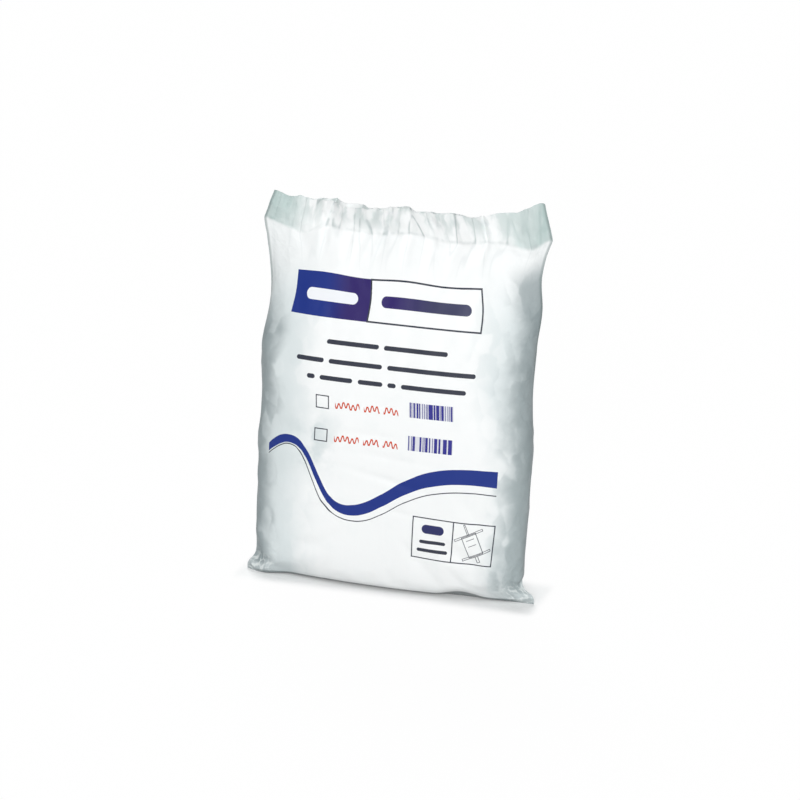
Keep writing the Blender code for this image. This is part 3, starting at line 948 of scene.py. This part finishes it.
FINE_LINE = (
    (-0.1276, 0.1305), (-0.1195, 0.1373), (-0.1110, 0.1432), (-0.1038, 0.1460), (-0.0966, 0.1455),
    (-0.0905, 0.1416), (-0.0842, 0.1332), (-0.0792, 0.1235), (-0.0743, 0.1127), (-0.0685, 0.0999),
    (-0.0619, 0.0891), (-0.0528, 0.0811), (-0.0418, 0.0763), (-0.0309, 0.0751), (-0.0223, 0.0758),
    (-0.0012, 0.0850), (0.0254, 0.1021), (0.0535, 0.1136), (0.0815, 0.1177), (0.1158, 0.1160),
)
LEFT_END, RIGHT_END = BAND_TOP[0][0], BAND_TOP[-1][0]
print("band:", round(1000 * (RIGHT_END - LEFT_END)), "mm long")

# %% The sweeping band and the fine line under it
STEEP_MIDDLE, STEEPER = 0.0720, 1.1  # where the fine line is steep, its distance is scaled down
band_top, band_bottom, fine = (
    film_finish.curve(u, LEFT_END, RIGHT_END, 0.07, 0.16, pairs)
    for pairs in (BAND_TOP, BAND_BOTTOM, FINE_LINE)
)
between_ends = band(u, LEFT_END, RIGHT_END)
below_top = fall(v - band_top, -SOFT, SOFT)
sweep = between_ends * below_top * climb(v - band_bottom, -SOFT, SOFT)
steepness = 1.0 + STEEPER * fall(abs(u + STEEP_MIDDLE), 0.012, 0.022)
fine_line = between_ends * line((v - fine) / steepness, 0.0011)
print("points that steer the band:", len(BAND_TOP) + len(BAND_BOTTOM))

# %% The ruled box
BOX_U, BOX_V, BOX_SLOPE = 0.0754, 0.0648, 0.045
BOX_HALF_WIDTH, BOX_HALF_HEIGHT, BOX_LINE = 0.0418, 0.0215, 0.0012
box_up = v - BOX_V + BOX_SLOPE * (u - BOX_U)
box_lines = frame_line(u - BOX_U, box_up, BOX_HALF_WIDTH, BOX_HALF_HEIGHT, BOX_LINE)
box_lines = box_lines.largest(line(u - BOX_U, BOX_LINE) * line(box_up, 2.0 * BOX_HALF_HEIGHT))
count_bar = round_bar(u - 0.0545, box_up - 0.0100, 0.0230, 0.0095)
small_words = round_bar(u - 0.0548, box_up + 0.0035, 0.0270, 0.0036)
small_words = small_words.largest(round_bar(u - 0.0550, box_up + 0.0125, 0.0320, 0.0036))
print("box:", round(2000 * BOX_HALF_WIDTH), "by", round(2000 * BOX_HALF_HEIGHT), "mm")

# %% The pictogram in the box
PICTURE_U, PICTURE_V = 0.0962, 0.0630
HAIRLINE = 0.0006
turn = math.radians(25.0)
side = (u - PICTURE_U) * math.cos(turn) + (v - PICTURE_V) * math.sin(turn)
tall = (v - PICTURE_V) * math.cos(turn) - (u - PICTURE_U) * math.sin(turn)
pictogram = frame_line(side, tall, 0.0074, 0.0115, 0.0007)
for middle, half_width, half_height in (  # two straps, the tube and the tap
    (-0.0115, 0.0150, 0.0010), (0.0115, 0.0150, 0.0010), (0.0175, 0.0007, 0.0060),
    (-0.0160, 0.0013, 0.0035),
):
    piece = frame_line(side, tall - middle, half_width, half_height, HAIRLINE)
    pictogram = pictogram.largest(piece)
marks = line(tall - 0.0065, HAIRLINE) + line(tall, HAIRLINE)
pictogram = pictogram.largest(line(side, 0.0085) * marks)
pictogram = pictogram * band(u, 0.0762, 0.1165) * line(box_up, 0.0425)
print("pictogram turned by", round(math.degrees(turn)), "degrees")

# %% [markdown]
# ### Patterns for the film's tones
# Crumpled film's flat facets catch the light unevenly, and that is painted here: a soft Voronoi
# pattern varies the painted grey from one facet to the next and breaks up every edge between white
# and grey. Noise warps the map first, so that no cell is regular. The other patterns run up the
# skirt: slanted streaks and fold lines, which carry painted shade of the pleats; the fold lines are
# relief too.

# %% Patterns
blotch = cloud(film_place, 38.0, 3.0)
drift = add("ShaderNodeTexNoise", {}, {"Vector": film_place, "Scale": 60.0}, "Color")
warped = add(
    "ShaderNodeVectorMath", {"operation": "MULTIPLY_ADD"},
    {0: drift, 1: (0.012, 0.012, 0.0), 2: film_place},
)
facet_inputs = {"Vector": stretch(warped, 80.0, 48.0, 0.3), "Scale": 1.0, "Smoothness": 0.35}
facet = add("ShaderNodeTexVoronoi", {"feature": "SMOOTH_F1"}, facet_inputs, "Color")
facet = facet + 0.0  # a Math node makes each cell's random colour one grey value
slanted = stretch(warped, 85.0, 24.0, math.radians(-14))
folds = stretch(film_place, 75.0, 13.0, math.radians(-24))
fold_lines = fall(abs(cloud(folds, 1.0, 0.5) - 0.5), 0.0, 0.050)
# painted shade of the pleats: slanted grey streaks, stronger up the skirt
pleat_shade_streaks = climb(cloud(slanted, 1.0, 2.0), 0.42, 0.62) * climb(v, 0.362, 0.384, 0.25, 1.0)
on_right = climb(u, -0.01, 0.01)
from_fold = abs(abs(u) - HALF_FLAT)
print("nodes so far:", len(film_finish.tree.nodes))

# %% [markdown]
# ### The colour of the skirt
# There is nothing behind the film in the skirt, so it looks a little green-grey, most at its flat
# corners. Its slanted streaks and fold lines are painted shade of the pleats, and the small marks
# that follow the weld are painted shade of its puckers.

# %% Colour of the skirt
in_skirt = climb(v + 0.004 * cloud(film_place, 90.0), 0.3590, 0.3635)
corner_edge = from_fold + 0.016 * (facet - 0.5) - 0.006 * on_right
at_corner = fall(corner_edge, 0.028, 0.046) * climb(facet, 0.2, 0.8, 0.70, 1.0)
to_grey = climb(from_fold + 0.03 * blotch, 0.018, 0.052)
corner_tint = lay(shade(174, 194, 191), to_grey, shade(200, 213, 211))
# painted shade in the skirt's fold lines
skirt_fold_shade = fold_lines * climb(blotch, 0.35, 0.6) * 0.65
skirt_colour = lay(shade(251, 252, 252), pleat_shade_streaks * 0.9, shade(216, 224, 223))
skirt_colour = lay(skirt_colour, skirt_fold_shade, shade(172, 183, 184))
skirt_colour = lay(skirt_colour, at_corner, corner_tint)
puckers = cloud(stretch(film_place, 120.0, 60.0), 1.0, 2.0)
# painted shade of small puckers along the weld
weld_pucker_shade = climb(puckers, 0.35, 0.75) * fall(abs(v - 0.3612), 0.0, 0.0030)
print("nodes so far:", len(film_finish.tree.nodes))

# %% [markdown]
# ### The colour of the filled film
# Where the film lies on the folded bags it looks white. Down the side folds and at the bottom
# corners the grey is painted shade of the pillow turning away from the light, partly also film
# that stands off the bags. It comes in two steps: a wide light grey, and a darker grey nearest the
# folds, darker on the left than low on the right. Dips in the front and the gathers under the weld
# get a touch of painted shade too.

# %% Where painted shade falls on the filled film
shift = from_fold + 0.018 * (facet - 0.5) + 0.020 * (blotch - 0.5)
# painted shade: a wide light grey band beside the side folds
slack_side_shade = fall(shift + on_right * climb(v, 0.15, 0.25, 0.026, 0.006), 0.042, 0.086)
left_top, right_top = fall(v, 0.255, 0.300, 0.12), fall(v, 0.322, 0.350, 0.06)
# painted shade down the side folds, partly film standing off the bags
off_bags_and_side_shade = fall(shift, 0.012, 0.044) * (left_top + on_right * (right_top - left_top))
off_bags_and_side_shade = off_bags_and_side_shade * climb(v, 0.003, 0.013, 0.35, 1.0)
# painted shade low down, strongest at the bottom corners
bottom_corner_shade = fall(v, 0.0, 0.032) * climb(from_fold, 0.02, 0.07, 0.6, 0.06)
unbacked_and_side_shade = off_bags_and_side_shade.largest(bottom_corner_shade) * climb(facet, 0.2, 0.8, 0.88, 1.0)
# painted shade of the gathers under the weld
gather_shade = climb(v, 0.316, 0.352) * fall(v, 0.3585, 0.3600)
# painted shade in a hollow of the front
hollow_shade = fall(abs(u + 0.088), 0.010, 0.055) * fall(abs(v - 0.150), 0.010, 0.055)
print("nodes so far:", len(film_finish.tree.nodes))

# %% Colour of the filled film
# the grey of the painted side shade, darker on the left than low on the right
side_shade_grey = lay(shade(140, 151, 154), on_right * fall(v, 0.06, 0.20, 0.3), shade(160, 171, 173))
FILLED_LAYERS = (
    (climb(blotch, 0.5, 0.8, 0.0, 0.5), shade(240, 243, 243)),
    (slack_side_shade * fall(v, 0.28, 0.34, 0.15), shade(221, 228, 229)),
    (unbacked_and_side_shade, side_shade_grey),
    (gather_shade * pleat_shade_streaks.largest(fold_lines) * 0.35, shade(218, 223, 224)),
    (hollow_shade * climb(blotch + 0.3 * facet, 0.45, 0.85), shade(214, 222, 223)),
)
filled_colour = shade(247, 248, 248)
for cover, colour in FILLED_LAYERS:
    filled_colour = lay(filled_colour, cover, colour)
print("nodes so far:", len(film_finish.tree.nodes))

# %% [markdown]
# ### Painted edge shade, glints and hem shadow, and the ink
# The side folds get a thin painted dark shade near the top, the bottom corners get small painted
# highlights along their crumples, and the hem at the table gets a thin painted shadow line. The
# inks go on last, one over another.

# %% Lay on the painted shade, highlights and shadow, and the ink
# painted shade along the side folds near the top
fold_edge_shade = climb(from_fold, 0.0012, 0.0040, 0.6, 0.0) * climb(v, 0.21, 0.27)
low_corner = fall(v, 0.010, 0.028) * fall(from_fold, 0.020, 0.036)
# painted highlights along the crumples of the bottom corners
painted_glints = climb(film_finish.cells(stretch(warped, 290.0, 240.0)), 0.45, 0.85) * low_corner
# painted shadow: a thin dark line where the hem meets the table
hem = climb(v - 0.0022 * blotch, 0.0, 0.0014, 0.75, 0.0)
hem = hem * climb(from_fold, 0.006, 0.024, 0.2, 1.0)
BLUE, VIOLET = shade(20, 46, 130), shade(40, 22, 100)
GREY, RED = shade(48, 52, 66), shade(204, 70, 30)
LAYERS = (
    (in_skirt, skirt_colour),
    (weld_pucker_shade * 0.32, shade(180, 188, 188)),
    (fold_edge_shade, shade(128, 141, 141)),
    (painted_glints * 0.6, shade(240, 244, 243)),
    (hem, shade(104, 112, 114)),
    (heading, lay(BLUE, heading_end, VIOLET)),
    (heading_word, shade(240, 242, 246)),
    (ruled_word, lay(VIOLET, climb(u, -0.01, 0.05), shade(56, 58, 92))),
    (ruled, GREY),
    (words.largest(ticks), GREY),
    (pen, RED),
    (codes, shade(48, 46, 138)),
    (sweep, BLUE),
    (fine_line.largest(box_lines).largest(pictogram).largest(small_words), GREY),
    (count_bar, shade(40, 44, 96)),
)
film_colour = filled_colour
for cover, colour in LAYERS:
    film_colour = lay(film_colour, cover, colour)
print("layers of colour:", len(FILLED_LAYERS) + len(LAYERS))

# %% [markdown]
# ### Gloss and fine relief
# The gloss is uneven where the film is stretched. Fine wrinkles, the crinkles of the skirt and the
# creases beside the folds are too fine for the mesh, so they are relief in the finish.

# %% Gloss and fine relief
wrinkle = cloud(stretch(pack_place, 95.0, 95.0, 0.0, 30.0), 1.0, 4.0)
skirt_crinkle = (cloud(slanted, 1.0, 3.0) - 0.5 * fold_lines) * in_skirt
creased = film_finish.cells(stretch(warped, 150.0, 150.0))
crumpled = fall(from_fold, 0.015, 0.055, 0.05) * climb(v, 0.020, 0.050, 1.0, 0.5)
relief_height = wrinkle * 0.0005 + skirt_crinkle * 0.0010 + creased * crumpled * 0.0020
relief_inputs = {"Strength": 0.6, "Distance": 1.0, "Height": relief_height}
FINISH = {
    "Base Color": film_colour, "Roughness": climb(blotch, 0.3, 0.7, 0.46, 0.60),
    "Specular IOR Level": 0.35, "Normal": add("ShaderNodeBump", {}, relief_inputs),
}
for name, value in FINISH.items():
    film_finish.feed(film_finish.shader.inputs[name], value)
print("film nodes:", len(film_finish.tree.nodes))

# %% Put the skin in the solid's place
skin.data.materials.append(film_finish.material)
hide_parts("sealed_pack")
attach(skin, "root")
print("skin finish:", skin.data.materials[0].name)

# %% [markdown]
# ## Floor, light and camera
# The pack stands on a pale table in a white room. A wide lamp above the camera lights its front, a
# weaker one behind lights its back, and one overhead lights the skirt. The room is dimmer, so the
# sides of the pillow turn grey. The table looks white to the camera but throws less light back at
# the film, as a small table in a dim studio does. It takes a shadow only close to the pack.

# %% Table
PAPER_REACH, PAPER_WHITE = 0.011, 0.97  # how far off the pack the table is nearly pure white
bpy.ops.mesh.primitive_plane_add(size=14.0)
table = bpy.context.object
table.name = "table_top"
finish = Recipe("table_top")
seen = None
for ray in ("Is Camera Ray", "Is Glossy Ray", "Is Transmission Ray"):
    kind = finish.add("ShaderNodeLightPath", {}, {}, ray)
    seen = kind if seen is None else seen.largest(kind)
table_colour = finish.lay((0.60, 0.61, 0.61), seen, (0.95, 0.95, 0.95))
matt = {"Base Color": table_colour, "Roughness": 0.8, "Specular IOR Level": 0.0}
for name, value in matt.items():
    finish.feed(finish.shader.inputs[name], value)
place = finish.add("ShaderNodeTexCoord", {}, {}, "Object")
across, along = (finish.add("ShaderNodeSeparateXYZ", {}, {"Vector": place}, axis) for axis in "XY")
beyond_x = (abs(across) - 0.5 * BASE_WIDTH).largest(0.0)
beyond_y = ((abs(along) - 0.030) * 0.5).largest(0.0)
from_pack = (beyond_x * beyond_x + beyond_y * beyond_y).root()
paper = finish.climb(from_pack, 0.0, PAPER_REACH, 0.0, PAPER_WHITE) * seen
white = finish.add("ShaderNodeEmission", {}, {"Color": (1.0, 1.0, 1.0)}, "Emission")
surface = Value(finish, finish.shader.outputs["BSDF"])
mixed = finish.add("ShaderNodeMixShader", {}, {0: paper, 1: surface, 2: white}, "Shader")
finish.feed(finish.tree.nodes["Material Output"].inputs["Surface"], mixed)
table.data.materials.append(finish.material)
table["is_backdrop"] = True
print("table nodes:", len(finish.tree.nodes))

# %% Room and lamps
ROOM_COLOUR = (0.245, 0.254, 0.254)
LAMPS = (  # azimuth, elevation and spread in degrees, and strength
    ("front_lamp", 12, 22, 26, 2.0), ("top_lamp", 0, 84, 55, 0.6), ("back_lamp", 205, 38, 30, 1.5),
)


def look_from(azimuth, elevation):
    """The way from the pack to a lamp or camera. Azimuth grows from the front to the right."""
    turn, tip = math.radians(azimuth), math.radians(elevation)
    level = math.cos(tip)
    return Vector((math.sin(turn) * level, -math.cos(turn) * level, math.sin(tip)))


world = bpy.data.worlds.new("white_room")
bpy.context.scene.world = world
world.use_nodes = True
room = world.node_tree.nodes["Background"]
room.inputs["Color"].default_value = (*ROOM_COLOUR, 1.0)
room.inputs["Strength"].default_value = 1.0
for name, azimuth, elevation, spread, energy in LAMPS:
    bpy.ops.object.light_add(type="SUN", location=2.0 * look_from(azimuth, elevation))
    lamp = bpy.context.object
    lamp.name = name
    lamp.rotation_euler = look_from(azimuth, elevation).to_track_quat("Z", "Y").to_euler()
    lamp.data.angle = math.radians(spread)
    lamp.data.energy = energy
print("lamps:", [lamp[0] for lamp in LAMPS])

# %% Camera
AZIMUTH, ELEVATION, ROLL, DISTANCE, LENS = 16.5, 18.5, 1.3, 3.6, 162.0
TARGET = Vector((0.0031, 0.0, 0.1947))
bpy.ops.object.camera_add()
camera = bpy.context.object
camera.name = "camera"
camera.data.lens = LENS
camera.data.sensor_width = 36.0
turned = Matrix.Rotation(math.radians(AZIMUTH), 4, "Z")
turned = turned @ Matrix.Rotation(math.radians(90 - ELEVATION), 4, "X")
turned = turned @ Matrix.Rotation(math.radians(ROLL), 4, "Z")
stand = TARGET + DISTANCE * look_from(AZIMUTH, ELEVATION)
camera.matrix_world = Matrix.Translation(stand) @ turned
bpy.context.scene.camera = camera
bpy.context.scene.view_settings.view_transform = "Standard"
print("camera at", np.round(camera.matrix_world.translation, 3))

# %% Sizes of the dressed pack
low, high = (list(corner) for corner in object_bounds())
print("dressed box:", np.round(low, 4), np.round(high, 4))
